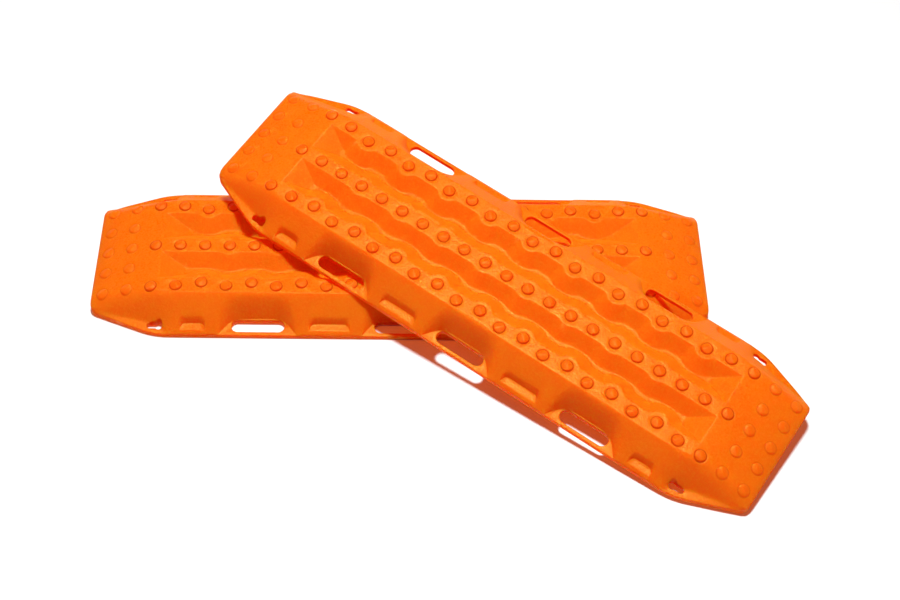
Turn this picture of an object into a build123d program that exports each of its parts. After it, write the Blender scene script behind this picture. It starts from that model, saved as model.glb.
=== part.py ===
from build123d import *
import os
from math import atan2, radians, tan

# Two identical one-piece traction boards, one lying flat and one laid diagonally across it.
# Millimetres. A board lies along X with its open underside on Z = 0.

# Board, overall
LENGTH = 115.0
WIDTH = 33.0
RIB_TOP = 6.55
SKIN = 1.2  # thickness of the shell and of the grip pads

# Plan outline
END_WIDTH = 23.4  # straight edge across each end
SHOULDER_X = 45.4  # where the sides turn in towards the ends
SHOULDER_RADIUS = 14.0
CORNER_RADIUS = 1.8

# End ramps, seen from the side
RAMP_X = 45.0
RAMP_MID = (51.5, 4.98)
RAMP_LIP = 2.65
LIP_RADIUS = 0.7

# Ribs: one along the middle and one along each side
MIDDLE_RIB_HALF = 1.5
SIDE_RIB_INNER = 7.65
SIDE_RIB_OUTER = 10.8

# Valleys between the ribs
VALLEY_DEPTH = 2.2
VALLEY_WALL_RUN = 2.35
VALLEY_TOP_X = 44.75
VALLEY_FLOOR_X = 40.25
BULGE_RADIUS = 2.1  # rounded swelling of a rib around a stud

# Grip studs
STUD_PITCH = 4.6
STUD_COUNT = 21  # along each rib
STUD_BASE_RADIUS = 1.25
STUD_TIP_RADIUS = 0.85
STUD_RISE = 0.4
STUD_ROOT = 0.6  # buried part, which carries a stud down to a sloping ramp
OUTER_STUD_Y = 9.3
INNER_STUD_Y = 8.55
RAMP_STUD_SPACING = 4.7
RAMP_ROWS = 2  # rows of ramp studs on each side of the middle
RAMP_COLUMNS = ((11, 5.25), (12, 3.65))  # pitches from the middle, height of the ramp there

# Handles: a slot in a flat pad at the foot of a scoop
HANDLE_PITCH = 26.4
SLOT_Y = 14.6
SLOT_LENGTH = 9.8
SLOT_WIDTH = 2.4
HANDLE_PAD_POINTS = ((4.3, 13.15), (6.4, 14.85), (7.6, 17.0), (8.6, 18.5))  # one half of a pad
SCOOP_SLOPE = 68.0  # degrees from level
SCOOP_TOP = RIB_TOP + 1.0

# Corner pads with keyholes
CORNER_PAD_POINTS = ((42.4, 17.0), (45.2, 13.6), (49.5, 12.9), (57.0, 11.75), (60.0, 17.0))
KEYHOLE_X = 44.6
KEYHOLE_Y = 14.7
KEYHOLE_RADIUS = 0.75
KEYHOLE_TAIL = 2.2
KEYHOLE_TAIL_WIDTH = 1.05

# Shelf pads between the handles and near the corners
SHELF_Z = 1.6
SHELF_SLOPE = 80.0  # degrees from level
SHELF_INNER_Y = 14.75
SHELF_OUTER_Y = 18.5  # past the board's edge
SHELF_FLARE = 0.6
LONG_SHELF_HALF = 3.4
SHORT_SHELF_HALF = 2.0
SHORT_SHELF_X = 38.3

# How the upper board lies on the lower one
UPPER_X = 18.9
UPPER_Y = -10.3
UPPER_Z = 6.85
UPPER_TURN = -34.4  # about Z
UPPER_SLOPE = 5.2  # nose down
UPPER_LEAN = 7.7  # rear side up

SIDES = (1, -1)


def outline_face(inset):
    """Plan outline of a board, drawn in by an even margin."""
    half_width = WIDTH / 2
    corners = [
        (LENGTH / 2, END_WIDTH / 2),
        (SHOULDER_X, half_width),
        (-SHOULDER_X, half_width),
        (-LENGTH / 2, END_WIDTH / 2),
    ]
    corners += [(-x, -y) for x, y in corners]
    face = make_face(Polyline(corners, close=True))
    shoulders = [v for v in face.vertices() if abs(v.X) < LENGTH / 2 - 1]
    face = fillet(shoulders, SHOULDER_RADIUS)
    ends = [v for v in face.vertices() if abs(v.X) > LENGTH / 2 - 0.01]
    face = fillet(ends, CORNER_RADIUS)
    return offset(face, -inset, kind=Kind.INTERSECTION) if inset else face


def side_face(inset):
    """Side view of a board: level along the ribs, bent down to a lip at each end."""
    lip_x = LENGTH / 2
    outline = Polyline([(-lip_x, RAMP_LIP), (-lip_x, -inset), (lip_x, -inset), (lip_x, RAMP_LIP)])
    outline += ThreePointArc((lip_x, RAMP_LIP), RAMP_MID, (RAMP_X, RIB_TOP))
    outline += Line((RAMP_X, RIB_TOP), (-RAMP_X, RIB_TOP))
    outline += ThreePointArc((-RAMP_X, RIB_TOP), (-RAMP_MID[0], RAMP_MID[1]), (-lip_x, RAMP_LIP))
    face = make_face(outline)
    lips = [v for v in face.vertices() if abs(v.X) > lip_x - 0.01 and v.Y > RAMP_LIP - 0.01]
    face = fillet(lips, LIP_RADIUS)
    return offset(face, -inset, kind=Kind.INTERSECTION) if inset else face


def cross_face(inset):
    """Cross-section of a board without its valleys: a flat top and two sloping side walls."""
    half_width = WIDTH / 2
    points = [
        (-half_width, -inset),
        (half_width, -inset),
        (half_width, SKIN),
        (SIDE_RIB_OUTER, RIB_TOP),
        (-SIDE_RIB_OUTER, RIB_TOP),
        (-half_width, SKIN),
    ]
    face = make_face(Polyline(points, close=True))
    return offset(face, -inset, kind=Kind.INTERSECTION) if inset else face


def envelope(inset):
    """The board's outer form, or the hollow inside it when drawn in by the skin."""
    top = RIB_TOP + 2
    plan = extrude(outline_face(inset), top)
    side = extrude(Plane.XZ * side_face(inset), WIDTH, both=True)
    cross = extrude(Plane.YZ * cross_face(inset), LENGTH, both=True)
    return plan & side & cross


def frustum(x_half, y_low, y_high, run, z_low, z_high):
    """A straight-sided pit that widens by run on every side as it rises."""
    y_mid = (y_low + y_high) / 2
    depth = y_high - y_low
    floor = Pos(0, y_mid, z_low) * Rectangle(2 * x_half[0], depth)
    mouth = Pos(0, y_mid, z_high) * Rectangle(2 * x_half[1], depth + 2 * run)
    return loft([floor, mouth])


def valley(grow):
    """The space of the valley on the +Y side, grown by an even margin."""
    angle = atan2(VALLEY_DEPTH, VALLEY_WALL_RUN)
    end_angle = atan2(VALLEY_DEPTH, VALLEY_TOP_X - VALLEY_FLOOR_X)
    floor_z = RIB_TOP - VALLEY_DEPTH - grow
    mouth_z = RIB_TOP + 1
    rise = mouth_z - floor_z
    floor_x = VALLEY_FLOOR_X + grow * tan(end_angle / 2)
    low = MIDDLE_RIB_HALF + VALLEY_WALL_RUN - grow * tan(angle / 2)
    high = SIDE_RIB_INNER - VALLEY_WALL_RUN + grow * tan(angle / 2)
    mouth_x = floor_x + rise / tan(end_angle)
    return frustum((floor_x, mouth_x), low, high, rise / tan(angle), floor_z, mouth_z)


def stud_rows():
    """Place of each stud on the three ribs, and whether the rib swells around it."""
    last = STUD_COUNT // 2
    for k in range(-last, last + 1):
        inner = k % 2 == 0
        side_y = INNER_STUD_Y if inner else OUTER_STUD_Y
        if abs(k) == last:
            side_y = RAMP_ROWS * RAMP_STUD_SPACING
        yield k * STUD_PITCH, 0.0, not inner
        for side in SIDES:
            yield k * STUD_PITCH, side * side_y, inner


def bulges():
    """Rounded swellings of the ribs into the valleys."""
    spread = VALLEY_WALL_RUN / VALLEY_DEPTH
    foot_z = RIB_TOP - VALLEY_DEPTH
    shapes = []
    for x, y, swells in stud_rows():
        if swells and abs(x) < VALLEY_FLOOR_X:
            foot_radius = BULGE_RADIUS + VALLEY_DEPTH * spread
            shapes.append(Pos(x, y, (RIB_TOP + foot_z) / 2) * Cone(foot_radius, BULGE_RADIUS, VALLEY_DEPTH))
    return shapes


def stud(x, y, surface_z):
    """A low tapered stud standing on a surface at the given height."""
    tip = Cone(STUD_BASE_RADIUS, STUD_TIP_RADIUS, STUD_RISE)
    root = Cylinder(STUD_BASE_RADIUS, STUD_ROOT)
    return Pos(x, y, surface_z + STUD_RISE / 2) * tip + Pos(x, y, surface_z - STUD_ROOT / 2) * root


def studs():
    """All the grip studs of one board."""
    shapes = [stud(x, y, RIB_TOP) for x, y, _ in stud_rows()]
    for pitches, surface_z in RAMP_COLUMNS:
        for end in SIDES:
            for row in range(-RAMP_ROWS, RAMP_ROWS + 1):
                shapes.append(stud(end * pitches * STUD_PITCH, row * RAMP_STUD_SPACING, surface_z))
    return shapes


def scoop(points, floor_z, slope, grow):
    """A pocket over a pad: its outline at floor_z, widening upwards, grown by an even margin."""
    angle = radians(slope)
    floor_z -= grow
    pad = make_face(Polyline(list(points), close=True))
    floor = offset(pad, grow * tan(angle / 2), kind=Kind.INTERSECTION) if grow else pad
    mouth = offset(floor, (SCOOP_TOP - floor_z) / tan(angle), kind=Kind.INTERSECTION)
    return loft([Pos(0, 0, floor_z) * floor, Pos(0, 0, SCOOP_TOP) * mouth])


def four_ways(shape):
    """A shape of the +X +Y quarter and its mirror images."""
    pair = [shape, mirror(shape, Plane.YZ)]
    return pair + [mirror(one, Plane.XZ) for one in pair]


def both_sides(shape):
    return [shape, mirror(shape, Plane.XZ)]


def handle_pad(centre_x):
    """Outline of a handle's pad, which runs out past the board's edge."""
    other_half = [(-x, y) for x, y in reversed(HANDLE_PAD_POINTS)]
    return [(centre_x + x, y) for x, y in [*HANDLE_PAD_POINTS, *other_half]]


def shelf_pad(centre_x, half_length):
    """Outline of a shelf pad, which runs out past the board's edge."""
    flared = half_length + SHELF_FLARE
    return [
        (centre_x - half_length, SHELF_INNER_Y),
        (centre_x + half_length, SHELF_INNER_Y),
        (centre_x + flared, SHELF_OUTER_Y),
        (centre_x - flared, SHELF_OUTER_Y),
    ]


def pockets(grow):
    """Every pocket cut into the side walls."""
    long_shelf = shelf_pad(HANDLE_PITCH / 2, LONG_SHELF_HALF)
    short_shelf = shelf_pad(SHORT_SHELF_X, SHORT_SHELF_HALF)
    shapes = both_sides(scoop(handle_pad(0), SKIN, SCOOP_SLOPE, grow))
    shapes += four_ways(scoop(handle_pad(HANDLE_PITCH), SKIN, SCOOP_SLOPE, grow))
    shapes += four_ways(scoop(CORNER_PAD_POINTS, SKIN, SCOOP_SLOPE, grow))
    shapes += four_ways(scoop(long_shelf, SHELF_Z, SHELF_SLOPE, grow))
    shapes += four_ways(scoop(short_shelf, SHELF_Z, SHELF_SLOPE, grow))
    return shapes


def slots():
    """Through cuts: three handle slots a side and a keyhole near each corner."""
    through = 3 * SKIN
    slot = Pos(0, SLOT_Y, -SKIN) * extrude(SlotOverall(SLOT_LENGTH, SLOT_WIDTH), through)
    key = Pos(KEYHOLE_X, KEYHOLE_Y) * Circle(KEYHOLE_RADIUS)
    key += Pos(KEYHOLE_X + KEYHOLE_TAIL / 2, KEYHOLE_Y) * SlotOverall(KEYHOLE_TAIL, KEYHOLE_TAIL_WIDTH)
    keyhole = Pos(0, 0, -SKIN) * extrude(key, through)
    return both_sides(slot) + four_ways(Pos(HANDLE_PITCH, 0, 0) * slot) + four_ways(keyhole)


def board():
    """One complete board, hollow underneath."""
    outer = envelope(0) - pockets(0) - both_sides(valley(0))
    outer += bulges()
    hollow = envelope(SKIN) - pockets(SKIN) - both_sides(valley(SKIN))
    shell = outer - hollow
    shell += studs()
    return shell - slots()


def upper_place():
    """Where the upper board lies."""
    turn = Rot(0, 0, UPPER_TURN) * Rot(0, UPPER_SLOPE, 0) * Rot(UPPER_LEAN, 0, 0)
    return Pos(UPPER_X, UPPER_Y, UPPER_Z) * turn


def main():
    os.makedirs("parts", exist_ok=True)
    lower = board()
    nodes = {"lower_board": lower, "upper_board": upper_place() * lower}
    for name, shape in nodes.items():
        solids = shape.solids()
        box = shape.bounding_box()
        print(name, len(solids), "solids", round(shape.volume, 1), "mm3", box.min, box.max)
        export_step(shape, f"parts/{name}.step")


main()
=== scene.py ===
from itertools import product
from math import atan2, cos, hypot, pi, radians, sin, sqrt

import bpy
import numpy as np
from mathutils import Matrix, Vector
from mathutils.geometry import delaunay_2d_cdt


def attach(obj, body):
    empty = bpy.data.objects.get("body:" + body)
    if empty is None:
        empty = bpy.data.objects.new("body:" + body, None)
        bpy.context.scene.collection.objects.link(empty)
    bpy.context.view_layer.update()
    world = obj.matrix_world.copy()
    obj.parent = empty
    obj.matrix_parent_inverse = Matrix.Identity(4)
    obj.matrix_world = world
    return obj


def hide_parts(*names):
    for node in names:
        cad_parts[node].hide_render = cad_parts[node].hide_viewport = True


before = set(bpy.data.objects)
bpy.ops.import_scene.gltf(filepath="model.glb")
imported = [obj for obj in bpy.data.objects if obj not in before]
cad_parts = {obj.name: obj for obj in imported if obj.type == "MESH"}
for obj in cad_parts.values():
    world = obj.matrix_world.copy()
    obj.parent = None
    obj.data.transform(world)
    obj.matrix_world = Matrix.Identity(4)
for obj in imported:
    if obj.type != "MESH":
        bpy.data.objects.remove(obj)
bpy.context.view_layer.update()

# Two identical moulded traction boards, one laid across the other.
# A board is worked out in millimetres in its own frame, one quarter at a time, as the height of its
# top and of its underside over the plan. Objects are in metres.

MM = 0.001

# Board, overall
LENGTH = 115.0
WIDTH = 33.0
RIB_TOP = 6.55
SKIN = 1.2

# Plan outline: the corners of one quarter, and those that are rounded, each with the corners before
# and after it and its radius
END_WIDTH = 23.4
SIDE_MIDDLE = (0.0, WIDTH / 2)
SHOULDER = (45.4, WIDTH / 2)
CORNER = (LENGTH / 2, END_WIDTH / 2)
END_MIDDLE = (LENGTH / 2, 0.0)
ROUNDED_CORNERS = (
    (SHOULDER, SIDE_MIDDLE, CORNER, 14.0),
    (CORNER, SHOULDER, END_MIDDLE, 1.8),
)

# End ramps: three points of their arc, seen from the side
RAMP_START = (45.0, RIB_TOP)
RAMP_MID = (51.5, 4.98)
RAMP_LIP = (57.5, 2.65)

# Ribs and valleys
MIDDLE_RIB_HALF = 1.5
SIDE_RIB_INNER = 7.65
SIDE_RIB_OUTER = 10.8
VALLEY_DEPTH = 2.2
VALLEY_WALL_RUN = 2.35
VALLEY_TOP_X = 44.75
VALLEY_FLOOR_X = 40.25
BULGE_RADIUS = 2.1

# Grip studs
STUD_PITCH = 4.6
STUD_LAST = 10
STUD_RADIUS = 1.07
STUD_RISE = 0.4
STUD_FLANK = 1.6  # slope of a stud's side
STUD_ROOF = 0.27  # slope of a stud's two facets, which meet along a ridge
STUD_RIDGE = 0.08  # half-width of the round along the ridge
STUD_CROWN = 0.1  # how far the top also curves down to its edge
STUD_EDGE = 0.07  # softness of a stud's edges
STUD_MOAT = 0.16
STUD_MOAT_WIDTH = 0.25
STUD_SHADE_FADE = 0.12  # over this width, the ring of painted shade on a stud's edge fades out
STUD_SHADE_REACH = 1.7  # how many such widths it reaches from the edge
# painted shade: how much a stud's top is darkened
STUD_TOP_SHADE = 0.3
RAMP_STUD_SHARE = 0.4  # strength of the moats and the painted shade on the end ramps
OUTER_STUD_Y = 9.3
INNER_STUD_Y = 8.55
RAMP_STUD_SPACING = 4.7
RAMP_COLUMNS = (11, 12)

# Handles, shelves and corner pads
HANDLE_PITCH = 26.4
SLOT_Y = 14.6
SLOT_LENGTH = 9.8
SLOT_WIDTH = 2.4
SCOOP_SLOPE = 2.475
HANDLE_PAD = ((0.0, 13.15), (4.3, 13.15), (6.4, 14.85), (7.6, 17.0))
CORNER_PAD = ((42.4, 17.0), (45.2, 13.6), (49.5, 12.9), (57.0, 10.9))
CORNER_SHARES = (0.42, 0.6, 0.55)  # of the scoop slope, for the walls behind each line
PAD_SLOPE = 0.12  # the pads fall away slightly towards the board's edge
PAD_LEVEL_Y = 15.4  # where a grip pad is as high as the skin is thick
SHELF_Z = 1.8
SHELF_SLOPE = 4.5
SHELF_INNER_Y = 14.5
SHELF_FLARE = 0.5
SHELF_FLARE_RUN = 2.0
LONG_SHELF = (13.2, 3.4)
SHORT_SHELF = (38.3, 2.0)
KEYHOLE = (44.6, 14.7)
KEYHOLE_RADIUS = 0.75
KEYHOLE_TAIL = 2.2
KEYHOLE_TAIL_WIDTH = 1.05

# Softness of the pockets' outlines in plan
HANDLE_EASE = 1.2
CORNER_EASE = 1.0
SHELF_EASE = 0.9

# Softness of the edges: how far apart two faces are in height where their round starts
RIB_EDGE = 0.12
RAMP_TOP_EDGE = 0.1
VALLEY_FOOT = 0.24
VALLEY_CORNER = 0.15
BULGE_BLEND = 0.5
SCOOP_EDGE = 1.4
SCOOP_FOOT = 0.16
CORNER_EDGE = 2.4
CORNER_EDGE_X = 43.0  # where a corner pocket's edge starts to soften, and over what length it does
CORNER_EDGE_RUN = 10.0
CORNER_FOOT = 0.4
SHELF_EDGE = 1.0
SHELF_FOOT = 0.25
RAMP_EDGE = 1.6
RAMP_EDGE_LEAD = 1.0  # how far before the ramp its side edges start to soften
RAMP_EDGE_RUN = 11.0
POCKET_EDGE_RISE = 1.2  # height over a pad at which a pocket's edge is at its softest
UNDER_EDGE = 0.1
INNER_WALL_SLOPE = 6.0
RIM_RADIUS = 0.13
LIP_RADIUS = 0.5
LIP_X = 53.0  # where the rim starts to grow, and over what length it does
LIP_RUN = 4.0

# Where the upper board lies
UPPER_PLACE = (18.9, -10.3, 6.85)
UPPER_TURN = -34.4
UPPER_SLOPE = 5.2
UPPER_LEAN = 7.7

# Mesh
SAMPLE = 0.08  # spacing of the grid in which lines are looked for
CHORD_ERROR = 0.003
LONGEST_STEP = 0.7
HOLE_STEP = 0.3
ARC_STEP = 0.4
MERGE = 0.035  # points nearer than this are one
FILL_STEP = 0.62
UNDER_STEP = 1.0
UNDER_CREASE_STEP = 1.2
ROW_PITCH = 0.866  # of the step, between rows of points in even triangles
SHOWN_ERROR = 0.004  # a crease shows where its height is this near to the surface's
RIM_SHARES = (0.06, 0.25, 0.55, 1.0)  # of the rim's radius, where lines run along it
RIDGE_POINTS = 4
STUD_RINGS = (  # share of the radius, number of points
    (1.27, 32), (1.18, 32), (1.10, 32), (1.04, 32), (0.97, 32),
    (0.90, 32), (0.84, 32), (0.78, 32), (0.55, 16), (0.3, 8),
)

# Orange nylon: colours in linear light
DEEP_ORANGE = (0.69, 0.105, 0.0008, 1)
LIGHT_ORANGE = (0.725, 0.130, 0.0015, 1)
# painted shade: the steepest walls, lit at a glancing angle, are painted redder
STEEP_SHADE_ORANGE = (0.82, 0.062, 0.0006, 1)
FLECK_ORANGE = (0.73, 0.20, 0.012, 1)
# wear and painted highlight: convex edges are painted paler, partly as wear and partly as the bright lines
# light draws along rounded rims
WORN_HIGHLIGHT_ORANGE = (0.75, 0.26, 0.03, 1)
# painted shade: the dark ring round each stud and the lighter darkening of its top
STUD_SHADE_ORANGE = (0.46, 0.042, 0.0004, 1)
LAMPLIGHT_TINT = (0.54, 0.20, 0.05, 1)
SHEEN_TINT = (1.0, 0.85, 0.2, 1)
SHEEN_LEVEL = 0.2
GLOW_RADIUS = (1.0, 0.05, 0.015)
GLOW_SCALE = 0.005

# Orange nylon: sizes of its noises in millimetres, and their detail and roughness
GRAIN = (0.38, 2.0, 0.6)
PITS = (0.8, 3.0, 0.55)
FLOW = (14.0, 2.0, 0.5)
CLOUD = (3.2, 3.0, 0.6)

# Orange nylon: how its marks are found and how strong they are
NOISE_SPAN = (0.3, 0.7)  # where most of a noise's values lie
FLECK_SPAN = (0.42, 0.72)
PIT_SPAN = (0.35, 0.6)
FLOW_SHARE = 0.6
CLOUD_SHARE = 0.4
WALL_TILT = (0.94, 0.75)  # upward part of the normal, from where a wall starts to where it is one
# painted shade: the upward share of the normal over which walls turn redder, and how far they do
STEEP_SHADE_TILT = (0.68, 0.3)
STEEP_SHADE_STRENGTH = 0.6
WORN_HIGHLIGHT_EDGES = (0.53, 0.62)  # pointiness of the convex edges that are painted paler, as wear and as a painted highlight
WORN_HIGHLIGHT_STRENGTH = 0.6
FLECK_STRENGTH = 0.4
# strength of the painted shade on the studs
STUD_SHADE_STRENGTH = 0.9
SMOOTHEST = 0.21
ROUGHEST = 0.43
WALL_ROUGHNESS = 0.4
SHADE_ROUGHNESS = 0.05
WORN_POLISH = 0.3
# rougher where the stud shade is painted
STUD_SHADE_ROUGHNESS = 0.25
PIT_RELIEF = 0.7
BUMP_STRENGTH = 0.65
BUMP_DEPTH = 0.00012

# Stage, in metres
FLOOR_HALF = 1.5
FLOOR_DROP = 0.00002
FLOOR_GREY = (0.72, 0.72, 0.72, 1)
FLOOR_ROUGHNESS = 0.8
FLOOR_SHEEN = 0.1
LAMP_PLACE = (0.004, 0.003, 0.40)
LAMP_AIM = (0.01, 0, 0)
LAMP_SIZE = 0.045
LAMP_POWER = 2.52
SURROUND_STRENGTH = 0.09
SURROUND_COLOUR = (1, 0.86, 0.74, 1)

# Camera: its place in millimetres, and the directions of its right side, its top and its view
CAMERA_PLACE = (1.07, -168.94, 227.41)
CAMERA_RIGHT = (0.99953, -0.00795, 0.02977)
CAMERA_UP = (-0.01076, 0.81528, 0.57896)
CAMERA_VIEW = (0.02888, 0.57901, -0.81481)
CAMERA_LENS = 59.2
CAMERA_SENSOR = 36
CAMERA_NEAR = 0.01


# --- Shape -------------------------------------------------------------------------------------

def smooth_max(a, b, k):
    """The larger of two heights, with a round where they are within k of each other."""
    near = np.clip(1 - np.abs(a - b) / k, 0, 1)
    return np.maximum(a, b) + near * near * k / 4


def smooth_min(a, b, k):
    """The smaller of two heights, with a round where they are within k of each other."""
    return -smooth_max(-a, -b, k)


def smooth_step(t):
    t = np.clip(t, 0, 1)
    return t * t * (3 - 2 * t)


def corner_arc(corner, before, after, radius):
    """Centre of the round at a corner of the outline, and the outward directions of its two sides."""
    normals = []
    for start, end in ((before, corner), (corner, after)):
        run = np.subtract(end, start)
        normals.append(np.array([-run[1], run[0]]) / np.hypot(*run))
    n1, n2 = normals
    return np.array(corner) - radius * (n1 + n2) / (1 + n1 @ n2), n1, n2


def from_outline(x, y):
    """Distance inside the plan outline."""
    run = np.subtract(CORNER, SHOULDER)
    slant = ((x - SHOULDER[0]) * run[1] - (y - SHOULDER[1]) * run[0]) / np.hypot(*run)
    distance = np.minimum(np.minimum(WIDTH / 2 - y, LENGTH / 2 - x), slant)
    for corner, before, after, radius in ROUNDED_CORNERS:
        centre, n1, n2 = corner_arc(corner, before, after, radius)
        across = n1[0] * n2[1] - n1[1] * n2[0]
        px, py = x - centre[0], y - centre[1]
        share_1 = (px * n2[1] - py * n2[0]) / across
        share_2 = (n1[0] * py - n1[1] * px) / across
        on_arc = (share_1 > 0) & (share_2 > 0)
        distance = np.where(on_arc, radius - np.hypot(px, py), distance)
    return distance


def from_slot(x, y, centre, length, width):
    """Distance outside a slot with round ends."""
    straight = (length - width) / 2
    return np.hypot(np.maximum(np.abs(x - centre[0]) - straight, 0), y - centre[1]) - width / 2


def from_holes(x, y):
    """Distance outside the nearest hole."""
    nearest = from_slot(x, y, (0, SLOT_Y), SLOT_LENGTH, SLOT_WIDTH)
    nearest = np.minimum(nearest, from_slot(x, y, (HANDLE_PITCH, SLOT_Y), SLOT_LENGTH, SLOT_WIDTH))
    nearest = np.minimum(nearest, np.hypot(x - KEYHOLE[0], y - KEYHOLE[1]) - KEYHOLE_RADIUS)
    tail = (KEYHOLE[0] + KEYHOLE_TAIL / 2, KEYHOLE[1])
    return np.minimum(nearest, from_slot(x, y, tail, KEYHOLE_TAIL, KEYHOLE_TAIL_WIDTH))


def from_chain(x, y, points, soft, shares=(1, 1, 1)):
    """Distance to the left of a chain of lines, with its corners eased and some lines counting for less."""
    distance = None
    for (ax, ay), (bx, by), share in zip(points, points[1:], shares):
        length = hypot(bx - ax, by - ay)
        one = share * ((by - ay) * (x - ax) - (bx - ax) * (y - ay)) / length
        distance = one if distance is None else smooth_max(distance, one, soft)
    return distance


def ramp(x, grow):
    """Height of the end ramp's arc."""
    (ax, ay), (bx, by), (cx, cy) = RAMP_START, RAMP_MID, RAMP_LIP
    d = 2 * (ax * (by - cy) + bx * (cy - ay) + cx * (ay - by))
    a, b, c = ax * ax + ay * ay, bx * bx + by * by, cx * cx + cy * cy
    ox = (a * (by - cy) + b * (cy - ay) + c * (ay - by)) / d
    oy = (a * (cx - bx) + b * (ax - cx) + c * (bx - ax)) / d
    radius = hypot(ax - ox, ay - oy) - grow
    on_arc = np.maximum(x, ax) - ox
    return oy + np.sqrt(radius ** 2 - on_arc ** 2) + np.maximum(ax - x, 0) * (ax - ox) / (ay - oy)


def sunk(slope, grow):
    """How far a sloping face drops when it moves in by grow."""
    return grow * sqrt(1 + slope * slope)


def stud_places():
    """Centres of the studs of one quarter, and whether the rib swells there."""
    places = []
    for k in range(STUD_LAST):
        inner = k % 2 == 0
        places.append((k * STUD_PITCH, 0.0, not inner))
        places.append((k * STUD_PITCH, INNER_STUD_Y if inner else OUTER_STUD_Y, inner))
    places.append((STUD_LAST * STUD_PITCH, 0.0, False))
    places.append((STUD_LAST * STUD_PITCH, 2 * RAMP_STUD_SPACING, False))
    for k in RAMP_COLUMNS:
        places += [(k * STUD_PITCH, row * RAMP_STUD_SPACING, False) for row in range(3)]
    return places


def valley_walls(x, y, grow, soft, note):
    """Height of the sloping faces round a valley, which go on upwards past its mouth."""
    slope = VALLEY_DEPTH / VALLEY_WALL_RUN
    floor = RIB_TOP - VALLEY_DEPTH
    drop = sunk(slope, grow)
    middle = floor + slope * (MIDDLE_RIB_HALF + VALLEY_WALL_RUN - y) - drop
    side = floor + slope * (y - SIDE_RIB_INNER + VALLEY_WALL_RUN) - drop
    for sx, sy, swells in stud_places():
        if swells and sx < VALLEY_FLOOR_X:
            cone = RIB_TOP + slope * (BULGE_RADIUS - np.hypot(x - sx, y - sy)) - drop
            if sy == 0:
                middle = smooth_max(middle, cone, soft * BULGE_BLEND)
            else:
                side = smooth_max(side, cone, soft * BULGE_BLEND)
    walls = smooth_max(middle, side, soft * VALLEY_CORNER)
    end_slope = VALLEY_DEPTH / (VALLEY_TOP_X - VALLEY_FLOOR_X)
    end = floor + end_slope * (x - VALLEY_FLOOR_X) - sunk(end_slope, grow)
    both = smooth_max(walls, end, soft * VALLEY_CORNER)
    note((walls - end) / (soft * VALLEY_CORNER), both)
    return both


def pockets(x, y):
    """The pockets in the side wall: height of the pad, height of the walls round it, their slope, and
    how soft their top and foot are."""
    fall = PAD_SLOPE * (PAD_LEVEL_Y - y)
    for centre in (0, HANDLE_PITCH):
        distance = from_chain(np.abs(x - centre), y, HANDLE_PAD, HANDLE_EASE)
        yield SKIN + fall, distance, SCOOP_SLOPE, SCOOP_EDGE, SCOOP_FOOT
    distance = from_chain(x, y, CORNER_PAD, CORNER_EASE, CORNER_SHARES)
    softening = smooth_step((x - CORNER_EDGE_X) / CORNER_EDGE_RUN)
    edge = SCOOP_EDGE + (CORNER_EDGE - SCOOP_EDGE) * softening
    yield SKIN + fall, distance, SCOOP_SLOPE, edge, CORNER_FOOT
    for centre, half in (LONG_SHELF, SHORT_SHELF):
        flared = (half + SHELF_FLARE, SHELF_INNER_Y + SHELF_FLARE_RUN)
        pad = ((0.0, SHELF_INNER_Y), (half, SHELF_INNER_Y), flared)
        distance = from_chain(np.abs(x - centre), y, pad, SHELF_EASE)
        yield SHELF_Z + fall, distance, SHELF_SLOPE, SHELF_EDGE, SHELF_FOOT


def height(x, y, grow, note=lambda crease, z: None):
    """Height of the board's faces before its rims and studs, moved in by grow.

    note is told of each crease: a measure that runs from -1 to 1 across its round, and its height."""
    soft = 1.0 if grow == 0 else 0.5
    level = RIB_TOP - grow
    top = smooth_min(level + 0 * x, ramp(x, grow), RAMP_TOP_EDGE)
    note((level - ramp(x, grow)) / RAMP_TOP_EDGE, top)
    wall_slope = (RIB_TOP - SKIN) / (WIDTH / 2 - SIDE_RIB_OUTER)
    wall = SKIN + wall_slope * (WIDTH / 2 - y) - sunk(wall_slope, grow)
    softening = smooth_step((x - RAMP_START[0] + RAMP_EDGE_LEAD) / RAMP_EDGE_RUN)
    edge = soft * (RIB_EDGE + RAMP_EDGE * softening)
    z = smooth_min(top, wall, edge)
    note((top - wall) / edge, z)
    walls = valley_walls(x, y, grow, soft, note)
    floor = RIB_TOP - VALLEY_DEPTH - grow
    valley = smooth_max(walls, floor + 0 * x, soft * VALLEY_FOOT)
    note((walls - floor) / (soft * VALLEY_FOOT), valley)
    cut = smooth_min(z, valley, soft * RIB_EDGE)
    note((z - valley) / (soft * RIB_EDGE), cut)
    z = cut
    for pad_z, distance, slope, edge, foot in pockets(x, y):
        walls = pad_z + slope * distance - sunk(slope, grow)
        pocket = smooth_max(walls, pad_z - grow, soft * foot)
        note((walls - pad_z + grow) / (soft * foot), pocket)
        softening = smooth_step((pocket - pad_z + grow) / POCKET_EDGE_RISE)
        edge = soft * (RIB_EDGE + (edge - RIB_EDGE) * softening)
        cut = smooth_min(z, pocket, edge)
        note((z - pocket) / edge, cut)
        z = cut
    return z


def rim_drop(distance, radius):
    """How far a rounded rim falls away at a distance inside its edge."""
    inward = np.clip(distance / radius, 0, 1)
    return radius * (1 - np.sqrt(1 - (1 - inward) ** 2))


def outer_rim(x):
    """Radius of the outer rim, which grows at the lips of the ramps."""
    return RIM_RADIUS + (LIP_RADIUS - RIM_RADIUS) * smooth_step((x - LIP_X) / LIP_RUN)


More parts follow.
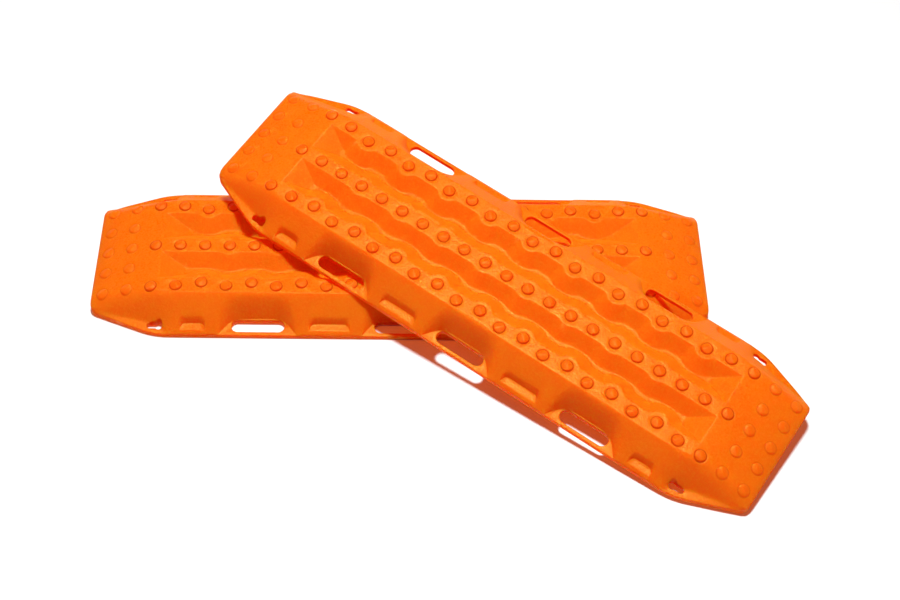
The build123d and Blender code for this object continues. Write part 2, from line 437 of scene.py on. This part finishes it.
def studs(x, y):
    """Rise of the studs over the surface, and the shade painted round them, anywhere on the board.

    Each stud is a low button with a shallow moat round it. Its top has two facets, and their ridge
    runs diagonally and turns from one stud to the next along a side rib."""
    rise, stud_shade = np.zeros_like(x), np.zeros_like(x)
    for k, (sx, sy, _) in enumerate(stud_places()):
        on_side_rib = sy > 0 and k < 2 * STUD_LAST
        strength = RAMP_STUD_SHARE if sx >= RAMP_COLUMNS[0] * STUD_PITCH else 1
        for side_x, side_y in product((-1, 1) if sx else (1,), (-1, 1) if sy else (1,)):
            dx, dy = x - side_x * sx, y - side_y * sy
            distance = np.hypot(dx, dy)
            near = distance < STUD_RADIUS + STUD_MOAT_WIDTH
            lean = side_x if sx else -1
            if on_side_rib:
                lean = side_x * side_y * (1 if sy == OUTER_STUD_Y else -1)
            across = (dx[near] + lean * dy[near]) / sqrt(2)
            rise[near], stud_shade[near] = stud(distance[near], across, strength)
    return rise, stud_shade


def stud(distance, across, strength):
    """Rise and painted shade of one stud, at a distance from its middle and a distance across its ridge."""
    crown = STUD_RISE - STUD_ROOF * (np.hypot(across, STUD_RIDGE) - STUD_RIDGE)
    crown = crown - STUD_CROWN * (distance / STUD_RADIUS) ** 2
    flank = STUD_FLANK * (STUD_RADIUS - distance)
    from_edge = np.abs(distance - STUD_RADIUS)
    moat = -STUD_MOAT * strength * (1 - np.clip(from_edge / STUD_MOAT_WIDTH, 0, 1) ** 2) ** 2
    rise = smooth_max(smooth_min(crown, flank, STUD_EDGE), moat, STUD_EDGE)
    # Painted shade: a dark ring on the stud's edge and a lighter darkening of its top.
    ring = np.clip(STUD_SHADE_REACH - from_edge / STUD_SHADE_FADE, 0, 1)
    return rise, strength * np.maximum(ring, STUD_TOP_SHADE * (distance < STUD_RADIUS))


def top_height(x, y):
    """Height of the top with its rounded rims, before its studs."""
    z = height(x, y, 0)
    z = z - rim_drop(from_outline(x, y), outer_rim(x))
    return z - rim_drop(from_holes(x, y), RIM_RADIUS)


def under_height(x, y, note=lambda crease, z: None):
    """Height of the underside: level on the ground, hollow inside the shell."""
    hollow = height(x, y, SKIN, note)
    inner = INNER_WALL_SLOPE * (from_outline(x, y) - SKIN)
    shell = smooth_min(hollow, inner, UNDER_EDGE)
    note((hollow - inner) / UNDER_EDGE, shell)
    z = smooth_max(shell, 0 * x, UNDER_EDGE)
    note(shell / UNDER_EDGE, z)
    z = z + rim_drop(from_outline(x, y), RIM_RADIUS)
    return z + rim_drop(from_holes(x, y), RIM_RADIUS)


# --- Mesh --------------------------------------------------------------------------------------

def chains(values, xs, ys):
    """Polylines along which a grid of values is zero."""
    v = np.where(values == 0, 1e-9, values)
    high = v > 0
    links = {}
    mixed = high[:-1, :-1].astype(int) + high[1:, :-1] + high[:-1, 1:] + high[1:, 1:]
    for i, j in zip(*np.nonzero((mixed > 0) & (mixed < 4))):
        around = [(i, j), (i + 1, j), (i + 1, j + 1), (i, j + 1)]
        crossed = []
        for a, b in zip(around, around[1:] + around[:1]):
            if high[a] != high[b]:
                crossed.append((min(a, b), max(a, b)))
        for a, b in zip(crossed[::2], crossed[1::2]):
            links.setdefault(a, []).append(b)
            links.setdefault(b, []).append(a)
    places = {}
    for a, b in links:
        t = v[a] / (v[a] - v[b])
        places[(a, b)] = (
            xs[a[0]] + t * (xs[b[0]] - xs[a[0]]),
            ys[a[1]] + t * (ys[b[1]] - ys[a[1]]),
        )
    left = dict(links)
    starts = [e for e, near in links.items() if len(near) == 1] + list(links)
    lines = []
    for start in starts:
        if start not in left:
            continue
        line = [start]
        while True:
            near = [e for e in left.pop(line[-1]) if e in left]
            if not near:
                break
            line.append(near[0])
        if len(line) > 3 and line[0] in links[line[-1]]:
            line.append(line[0])
        lines.append(np.array([places[e] for e in line]))
    return [line for line in lines if len(line) > 1]


def thinned(line, longest):
    """The points that a polyline needs to stay within the chord error, no further apart than longest."""
    kept = [0]
    while kept[-1] < len(line) - 1:
        a = kept[-1]
        b = a + 1
        while b + 1 < len(line):
            run = line[b + 1] - line[a]
            length = np.hypot(*run)
            between = line[a + 1:b + 1] - line[a]
            off = np.abs(between[:, 0] * run[1] - between[:, 1] * run[0]) / max(length, 1e-9)
            if length > longest or off.max() > CHORD_ERROR:
                break
            b += 1
        kept.append(b)
    return line[kept]


class Plan:
    """Points and lines in the plan of a quarter board, to be triangulated."""

    def __init__(self):
        self.points = []
        self.edges = []
        self.cells = {}

    def near(self, p, reach):
        """The index of the nearest point within reach, or None."""
        best, found = reach, None
        span = int(reach / MERGE) + 1
        ci, cj = int(p[0] // MERGE), int(p[1] // MERGE)
        for i in range(ci - span, ci + span + 1):
            for j in range(cj - span, cj + span + 1):
                for index in self.cells.get((i, j), ()):
                    q = self.points[index]
                    gap = hypot(p[0] - q[0], p[1] - q[1])
                    if gap < best:
                        best, found = gap, index
        return found

    def add(self, p, merge=MERGE):
        """The index of a new point, or of the one that is already there."""
        found = self.near(p, merge)
        if found is not None:
            return found
        self.points.append((float(p[0]), float(p[1])))
        key = (int(p[0] // MERGE), int(p[1] // MERGE))
        self.cells.setdefault(key, []).append(len(self.points) - 1)
        return len(self.points) - 1

    def line(self, points):
        """Adds points and the edges between them."""
        before = None
        for p in points:
            index = self.add(p)
            if before is not None and before != index:
                self.edges.append((before, index))
            before = index

    def fill(self, step):
        """Spreads points evenly where there are no lines."""
        rows = int(WIDTH / 2 / (step * ROW_PITCH)) + 1
        for row in range(1, rows):
            y = row * step * ROW_PITCH
            for column in range(1, int(LENGTH / 2 / step) + 1):
                x = (column + 0.5 * (row % 2)) * step
                inside = from_outline(x, y) > 0.5 * step and from_holes(x, y) > 0.4 * step
                if inside and x > 0.4 * step and self.near((x, y), 0.55 * step) is None:
                    self.add((x, y))

    def triangulate(self):
        """The points and the triangles inside the outline and outside the holes."""
        points = [Vector(p) for p in self.points]
        found = delaunay_2d_cdt(points, self.edges, [], 0, 1e-6, False)
        verts = np.array([tuple(p) for p in found[0]])
        faces = np.array([f for f in found[2] if len(f) == 3])
        middle = verts[faces].mean(axis=1)
        x, y = middle[:, 0], middle[:, 1]
        inside = (from_outline(x, y) > 0) & (from_holes(x, y) > 0)
        faces = faces[inside]
        used, faces = np.unique(faces, return_inverse=True)
        return verts[used], faces.reshape(-1, 3)


def sample_grid():
    """The grid in which lines are looked for: its two axes, and its points."""
    xs = np.linspace(0, LENGTH / 2, round(LENGTH / 2 / SAMPLE) + 1)
    ys = np.linspace(0, WIDTH / 2, round(WIDTH / 2 / SAMPLE) + 1)
    return xs, ys, *np.meshgrid(xs, ys, indexing="ij")


def add_borders(plan):
    """The outline, the holes' edges and the two lines of symmetry."""
    arcs = []
    for corner, before, after, radius in ROUNDED_CORNERS:
        centre, n1, n2 = corner_arc(corner, before, after, radius)
        a1, a2 = atan2(n1[1], n1[0]), atan2(n2[1], n2[0])
        count = max(6, int(radius * abs(a2 - a1) / ARC_STEP))
        for t in np.linspace(a1, a2, count):
            arcs.append(centre + radius * np.array([cos(t), sin(t)]))
    plan.line(spaced([np.array(SIDE_MIDDLE), *arcs, np.array(END_MIDDLE)], LONGEST_STEP))
    xs, ys, gx, gy = sample_grid()
    for line in chains(from_holes(gx, gy), xs, ys):
        plan.line(thinned(line, HOLE_STEP))


def spaced(points, longest):
    """The points with more added between, so that none are further apart than longest."""
    result = [points[0]]
    for a, b in zip(points, points[1:]):
        count = max(1, int(np.ceil(np.hypot(*(b - a)) / longest)))
        result += [a + (b - a) * n / count for n in range(1, count + 1)]
    return result


def add_rims(plan, radius_of, shares, longest):
    """Lines along the rounded rims."""
    xs, ys, gx, gy = sample_grid()
    for share in shares:
        for field, radius in ((from_outline(gx, gy), radius_of(gx)), (from_holes(gx, gy), RIM_RADIUS)):
            for line in chains(field / radius - share, xs, ys):
                plan.line(thinned(line, longest))


def add_creases(plan, shape, levels, longest):
    """Lines along both edges and through the middle of each rounded crease that shows."""
    xs, ys, gx, gy = sample_grid()
    noted = []
    shape(gx, gy, note=lambda crease, z: noted.append((crease + 0 * gx, z + 0 * gx)))
    surface = shape(gx, gy)
    inside = (from_outline(gx, gy) > 0.05) & (from_holes(gx, gy) > 0.05)
    for crease, z in noted:
        shows = (np.abs(z - surface) < SHOWN_ERROR) & inside
        if not shows.any():
            continue
        for level in levels:
            for line in chains(crease - level, xs, ys):
                i = np.clip(np.rint(line[:, 0] / xs[1]).astype(int), 0, len(xs) - 1)
                j = np.clip(np.rint(line[:, 1] / ys[1]).astype(int), 0, len(ys) - 1)
                for start, stop in runs(shows[i, j]):
                    if stop - start > 3:
                        plan.line(thinned(line[start:stop], longest))


def runs(flags):
    """Start and end of each unbroken run of true flags."""
    padded = np.concatenate([[False], flags, [False]]).astype(int)
    change = np.diff(padded)
    return list(zip(np.nonzero(change == 1)[0], np.nonzero(change == -1)[0]))


def add_studs(plan):
    """Rings of points on each stud, and lines where its ridge may run."""
    for sx, sy, _ in stud_places():
        for share, sides in STUD_RINGS:
            angles = [2 * pi * n / sides for n in range(sides + 1)]
            add_visible(plan, [ring_point(sx, sy, share, angle) for angle in angles])
        for quarter_turn in range(4):
            angle = pi / 4 + quarter_turn * pi / 2
            shares = [0] + [share for share, _ in reversed(STUD_RINGS)][:RIDGE_POINTS]
            add_visible(plan, [ring_point(sx, sy, share, angle) for share in shares])


def ring_point(sx, sy, share, angle):
    """A point on a ring of a stud, snapped onto the lines of symmetry."""
    x = sx + STUD_RADIUS * share * cos(angle)
    y = sy + STUD_RADIUS * share * sin(angle)
    return 0.0 if abs(x) < 1e-6 else x, 0.0 if abs(y) < 1e-6 else y


def add_visible(plan, line):
    """Adds the stretches of a line that lie in the quarter."""
    inside = np.array([x >= 0 and y >= 0 for x, y in line])
    for start, stop in runs(inside):
        plan.line(line[start:stop])


def add_seams(plan, step):
    """Points along the two lines of symmetry."""
    for n in range(int(WIDTH / 2 / step) + 1):
        y = n * step
        if from_holes(0.0, y) > 0 and plan.near((0.0, y), 0.4 * step) is None:
            plan.add((0.0, y))
    for n in range(int(LENGTH / 2 / step) + 1):
        if plan.near((n * step, 0.0), 0.4 * step) is None:
            plan.add((n * step, 0.0))


def outside_height(x, y, note=lambda crease, z: None):
    """Height of the board's outside before its rims and studs."""
    return height(x, y, 0, note)


def top_plan():
    """Points and triangles of the top's plan."""
    plan = Plan()
    add_borders(plan)
    add_studs(plan)
    add_rims(plan, outer_rim, RIM_SHARES, LONGEST_STEP)
    add_creases(plan, outside_height, (-1, -0.5, 0, 0.5, 1), LONGEST_STEP)
    add_seams(plan, FILL_STEP)
    plan.fill(FILL_STEP)
    return plan.triangulate()


def under_plan(border):
    """The underside's plan. It keeps the top's border points, so that the two can be joined."""
    plan = Plan()
    for a, b in border:
        plan.edges.append((plan.add(a, 1e-4), plan.add(b, 1e-4)))
    add_rims(plan, lambda x: RIM_RADIUS + 0 * x, (1.0,), UNDER_STEP)
    add_creases(plan, under_height, (-1, 0, 1), UNDER_CREASE_STEP)
    add_seams(plan, UNDER_STEP)
    plan.fill(UNDER_STEP)
    return plan.triangulate()


def border_edges(verts, faces):
    """Edges with one face, as pairs of indices in their face's order, leaving out the symmetry lines."""
    count = {}
    for face in faces:
        for a, b in zip(face, np.roll(face, -1)):
            count[(a, b)] = count.get((a, b), 0) + 1
    edges = []
    for a, b in count:
        if (b, a) in count:
            continue
        on_seam = any(abs(verts[a][axis]) < 1e-6 and abs(verts[b][axis]) < 1e-6 for axis in (0, 1))
        if not on_seam:
            edges.append((a, b))
    return edges


def counterclockwise(verts, faces):
    """The faces all turned one way, without those that have no area."""
    a, b, c = verts[faces[:, 0]], verts[faces[:, 1]], verts[faces[:, 2]]
    turn = (b[:, 0] - a[:, 0]) * (c[:, 1] - a[:, 1]) - (b[:, 1] - a[:, 1]) * (c[:, 0] - a[:, 0])
    faces = faces[np.abs(turn) > 1e-9]
    turn = turn[np.abs(turn) > 1e-9]
    return np.where((turn > 0)[:, None], faces, faces[:, ::-1])


def quarter():
    """Points and faces of one quarter of the board, closed except on the lines of symmetry."""
    top, top_faces = top_plan()
    top_faces = counterclockwise(top, top_faces)
    border = border_edges(top, top_faces)
    under, under_faces = under_plan([(top[a], top[b]) for a, b in border])
    under_faces = counterclockwise(under, under_faces)[:, ::-1]
    top_points = np.column_stack([top, top_height(top[:, 0], top[:, 1])])
    under_points = np.column_stack([under, under_height(under[:, 0], under[:, 1])])
    shift = len(top)
    on_top = np.arange(len(top) + len(under)) < shift
    places = {tuple(np.round(p, 4)): n + shift for n, p in enumerate(under)}
    faces = [tuple(f) for f in top_faces] + [tuple(f + shift) for f in under_faces]
    for a, b in border:
        c, d = places.get(tuple(np.round(top[b], 4))), places.get(tuple(np.round(top[a], 4)))
        if c is None or d is None:
            raise RuntimeError("the underside's border doesn't match the top's")
        faces.append((b, a, d, c))
    return np.vstack([top_points, under_points]), on_top, faces


def whole_board():
    """Points, painted stud shade and faces of the quarter and its three mirror images, joined."""
    points, on_top, faces = quarter()
    points[np.abs(points) < 1e-6] = 0
    stacked, marks, all_faces = [], [], []
    for sx, sy in ((1, 1), (-1, 1), (-1, -1), (1, -1)):
        shift = len(stacked) * len(points)
        mirrored = points * (sx, sy, 1) + 0.0
        rise, stud_shade = studs(mirrored[:, 0], mirrored[:, 1])
        mirrored[:, 2] += on_top * rise
        stacked.append(mirrored)
        marks.append(on_top * stud_shade)
        for face in faces:
            shifted = [n + shift for n in face]
            all_faces.append(shifted if sx * sy > 0 else shifted[::-1])
    rounded = np.round(np.vstack(stacked), 5)
    joined, first, where = np.unique(rounded, axis=0, return_index=True, return_inverse=True)
    where = where.reshape(-1).tolist()
    # Rounding can merge two corners of a sliver, which leaves it with fewer than three: it goes.
    merged = [list(dict.fromkeys(where[n] for n in face)) for face in all_faces]
    return joined, np.concatenate(marks)[first], [face for face in merged if len(face) > 2]


def board_mesh():
    """The mesh of one board, with its painted stud shade as a value at each point."""
    points, stud_shade, faces = whole_board()
    mesh = bpy.data.meshes.new("traction_board")
    mesh.from_pydata((points * MM).tolist(), [], faces)
    mesh.attributes.new("stud_shade", "FLOAT", "POINT").data.foreach_set("value", stud_shade)
    mesh.update()
    mesh.shade_smooth()
    return mesh


def resting_place():
    """Where the upper board lies: turned, sloped and leaned as its CAD node is."""
    turn = Matrix.Rotation(radians(UPPER_TURN), 4, "Z")
    slope = Matrix.Rotation(radians(UPPER_SLOPE), 4, "Y")
    lean = Matrix.Rotation(radians(UPPER_LEAN), 4, "X")
    return Matrix.Translation(Vector(UPPER_PLACE) * MM) @ turn @ slope @ lean


# --- Materials ---------------------------------------------------------------------------------

def add_node(tree, kind, *inputs, **settings):
    """A node with its settings, and its inputs linked or set in order."""
    node = tree.nodes.new("ShaderNode" + kind)
    for name, value in settings.items():
        setattr(node, name, value)
    for socket, value in inputs:
        if isinstance(value, bpy.types.NodeSocket):
            tree.links.new(value, node.inputs[socket])
        else:
            node.inputs[socket].default_value = value
    return node


def noise(tree, place, size, detail=2.0, roughness=0.5):
    """Noise whose features are about size millimetres across."""
    scale = 1 / (size * MM)
    node = add_node(tree, "TexNoise", ("Vector", place), ("Scale", scale), ("Detail", detail),
                    ("Roughness", roughness))
    return node.outputs["Fac"]


def remap(tree, value, low, high, to_low, to_high):
    """The value moved from one range to another, and kept inside it."""
    node = add_node(tree, "MapRange", ("Value", value), ("From Min", low), ("From Max", high),
                    ("To Min", to_low), ("To Max", to_high))
    return node.outputs["Result"]


def combine(tree, operation, a, b):
    """Two values joined by an arithmetic operation."""
    return add_node(tree, "Math", (0, a), (1, b), operation=operation).outputs["Value"]


def scaled(tree, value, share):
    return combine(tree, "MULTIPLY", value, share)


def blend(tree, factor, a, b):
    """Colour a, moved towards colour b by a factor."""
    node = add_node(tree, "Mix", (0, factor), (6, a), (7, b), data_type="RGBA")
    return node.outputs[2]


def nylon():
    """Moulded orange nylon: slightly translucent, with a fine spark-eroded grain."""
    material = bpy.data.materials.new("orange_nylon")
    material.use_nodes = True
    tree = material.node_tree
    shader = tree.nodes["Principled BSDF"]
    coordinates = add_node(tree, "TexCoord")
    place = coordinates.outputs["Object"]
    upward = add_node(tree, "SeparateXYZ", (0, coordinates.outputs["Normal"])).outputs["Z"]

    grain = noise(tree, place, *GRAIN)
    pits = noise(tree, place, *PITS)
    flow = noise(tree, place, *FLOW)
    cloud = noise(tree, place, *CLOUD)
    shade = combine(tree, "ADD", scaled(tree, flow, FLOW_SHARE), scaled(tree, cloud, CLOUD_SHARE))
    shade = remap(tree, shade, *NOISE_SPAN, 0.0, 1.0)
    edges = add_node(tree, "NewGeometry").outputs["Pointiness"]
    # Convex edges, by pointiness: paler as wear and as a painted highlight along the rims.
    wear_and_highlight = remap(tree, edges, *WORN_HIGHLIGHT_EDGES, 0.0, 1.0)
    wear_and_highlight = combine(tree, "MULTIPLY", wear_and_highlight, remap(tree, pits, *PIT_SPAN, 0.3, 1.0))
    # Painted shade on and round the studs, carried on the mesh.
    stud_shade = add_node(tree, "Attribute", attribute_name="stud_shade").outputs["Fac"]

    colour = nylon_colour(tree, upward, shade, grain, wear_and_highlight, stud_shade)
    tree.links.new(colour, shader.inputs["Base Color"])
    rough = nylon_roughness(tree, upward, shade, grain, wear_and_highlight, stud_shade)
    tree.links.new(rough, shader.inputs["Roughness"])
    relief = combine(tree, "ADD", grain, scaled(tree, pits, PIT_RELIEF))
    bump = add_node(tree, "Bump", ("Height", relief), ("Strength", BUMP_STRENGTH), ("Distance", BUMP_DEPTH))
    tree.links.new(bump.outputs["Normal"], shader.inputs["Normal"])
    shader.inputs["Specular IOR Level"].default_value = SHEEN_LEVEL
    shader.inputs["Specular Tint"].default_value = SHEEN_TINT
    shader.inputs["Subsurface Weight"].default_value = 1.0
    shader.inputs["Subsurface Radius"].default_value = GLOW_RADIUS
    shader.inputs["Subsurface Scale"].default_value = GLOW_SCALE
    let_lamps_through(tree, shader)
    return material


def nylon_colour(tree, upward, shade, grain, wear_and_highlight, stud_shade):
    """Drifts between two oranges, paler at flecks; redder on steep walls as painted shade, paler at worn
    edges as wear and a painted highlight, darker on the studs as painted shade.
    """
    colour = blend(tree, shade, DEEP_ORANGE, LIGHT_ORANGE)
    # Painted shade: steep walls, lit at a glancing angle, are painted a redder orange.
    steep_shade = remap(tree, upward, *STEEP_SHADE_TILT, 0.0, STEEP_SHADE_STRENGTH)
    colour = blend(tree, steep_shade, colour, STEEP_SHADE_ORANGE)
    flecks = remap(tree, grain, *FLECK_SPAN, 0.0, FLECK_STRENGTH)
    colour = blend(tree, flecks, colour, FLECK_ORANGE)
    # Wear and a painted highlight on the convex edges.
    colour = blend(tree, scaled(tree, wear_and_highlight, WORN_HIGHLIGHT_STRENGTH), colour, WORN_HIGHLIGHT_ORANGE)
    # Painted shade on the studs.
    return blend(tree, scaled(tree, stud_shade, STUD_SHADE_STRENGTH), colour, STUD_SHADE_ORANGE)


def nylon_roughness(tree, upward, shade, grain, wear_and_highlight, stud_shade):
    """Follows the grain: coarser on walls and where the stud shade is painted, smoother at worn edges."""
    wall = remap(tree, upward, *WALL_TILT, 0.0, 1.0)
    rough = remap(tree, grain, *NOISE_SPAN, SMOOTHEST, ROUGHEST)
    rough = combine(tree, "ADD", rough, scaled(tree, wall, WALL_ROUGHNESS))
    rough = combine(tree, "ADD", rough, scaled(tree, shade, SHADE_ROUGHNESS))
    rough = combine(tree, "SUBTRACT", rough, scaled(tree, wear_and_highlight, WORN_POLISH))
    return combine(tree, "ADD", rough, scaled(tree, stud_shade, STUD_SHADE_ROUGHNESS))


def let_lamps_through(tree, shader):
    """The shell is thin enough to glow: lamp light passes it, red-orange, and tints the shadows."""
    tinted = add_node(tree, "BsdfTransparent", ("Color", LAMPLIGHT_TINT))
    mix = tree.nodes.new("ShaderNodeMixShader")
    tree.links.new(add_node(tree, "LightPath").outputs["Is Shadow Ray"], mix.inputs[0])
    tree.links.new(shader.outputs[0], mix.inputs[1])
    tree.links.new(tinted.outputs[0], mix.inputs[2])
    tree.links.new(mix.outputs[0], tree.nodes["Material Output"].inputs["Surface"])


def paper():
    """The matt white of the floor."""
    material = bpy.data.materials.new("white_floor")
    material.use_nodes = True
    shader = material.node_tree.nodes["Principled BSDF"]
    shader.inputs["Base Color"].default_value = FLOOR_GREY
    shader.inputs["Roughness"].default_value = FLOOR_ROUGHNESS
    shader.inputs["Specular IOR Level"].default_value = FLOOR_SHEEN
    return material


# --- Scene -------------------------------------------------------------------------------------

def put_boards():
    """Both boards, from one mesh: the lower one flat, the upper one in its resting place."""
    mesh = board_mesh()
    mesh.materials.append(nylon())
    for node, body in (("lower_board", "lower"), ("upper_board", "upper")):
        data = mesh.copy()
        if node == "upper_board":
            data.transform(resting_place())
        board = bpy.data.objects.new(node.replace("board", "moulding"), data)
        bpy.context.scene.collection.objects.link(board)
        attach(board, body)
        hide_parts(node)


def put_floor():
    mesh = bpy.data.meshes.new("floor")
    corners = [(x * FLOOR_HALF, y * FLOOR_HALF, 0) for x, y in ((-1, -1), (1, -1), (1, 1), (-1, 1))]
    mesh.from_pydata(corners, [], [(0, 1, 2, 3)])
    floor = bpy.data.objects.new("floor", mesh)
    floor.location.z = -FLOOR_DROP
    mesh.materials.append(paper())
    bpy.context.scene.collection.objects.link(floor)


def put_lamp():
    """One small square lamp overhead."""
    light = bpy.data.lights.new("key", "AREA")
    light.shape = "RECTANGLE"
    light.size = LAMP_SIZE
    light.size_y = LAMP_SIZE
    light.energy = LAMP_POWER
    lamp = bpy.data.objects.new("key", light)
    lamp.location = LAMP_PLACE
    lamp.rotation_euler = (Vector(LAMP_AIM) - Vector(LAMP_PLACE)).to_track_quat("-Z", "Y").to_euler()
    bpy.context.scene.collection.objects.link(lamp)


def put_camera():
    data = bpy.data.cameras.new("camera")
    data.sensor_width = CAMERA_SENSOR
    data.lens = CAMERA_LENS
    data.clip_start = CAMERA_NEAR
    camera = bpy.data.objects.new("camera", data)
    axes = Matrix((Vector(CAMERA_RIGHT), Vector(CAMERA_UP), -Vector(CAMERA_VIEW)))
    camera.matrix_world = Matrix.Translation(Vector(CAMERA_PLACE) * MM) @ axes.transposed().to_4x4()
    bpy.context.scene.collection.objects.link(camera)
    bpy.context.scene.camera = camera


def put_surround():
    """A dim, even light from all round."""
    world = bpy.data.worlds.new("studio")
    bpy.context.scene.world = world
    world.use_nodes = True
    background = world.node_tree.nodes["Background"]
    background.inputs["Color"].default_value = SURROUND_COLOUR
    background.inputs["Strength"].default_value = SURROUND_STRENGTH


put_boards()
put_floor()
put_lamp()
put_surround()
put_camera()
bpy.context.scene.view_settings.view_transform = "Standard"
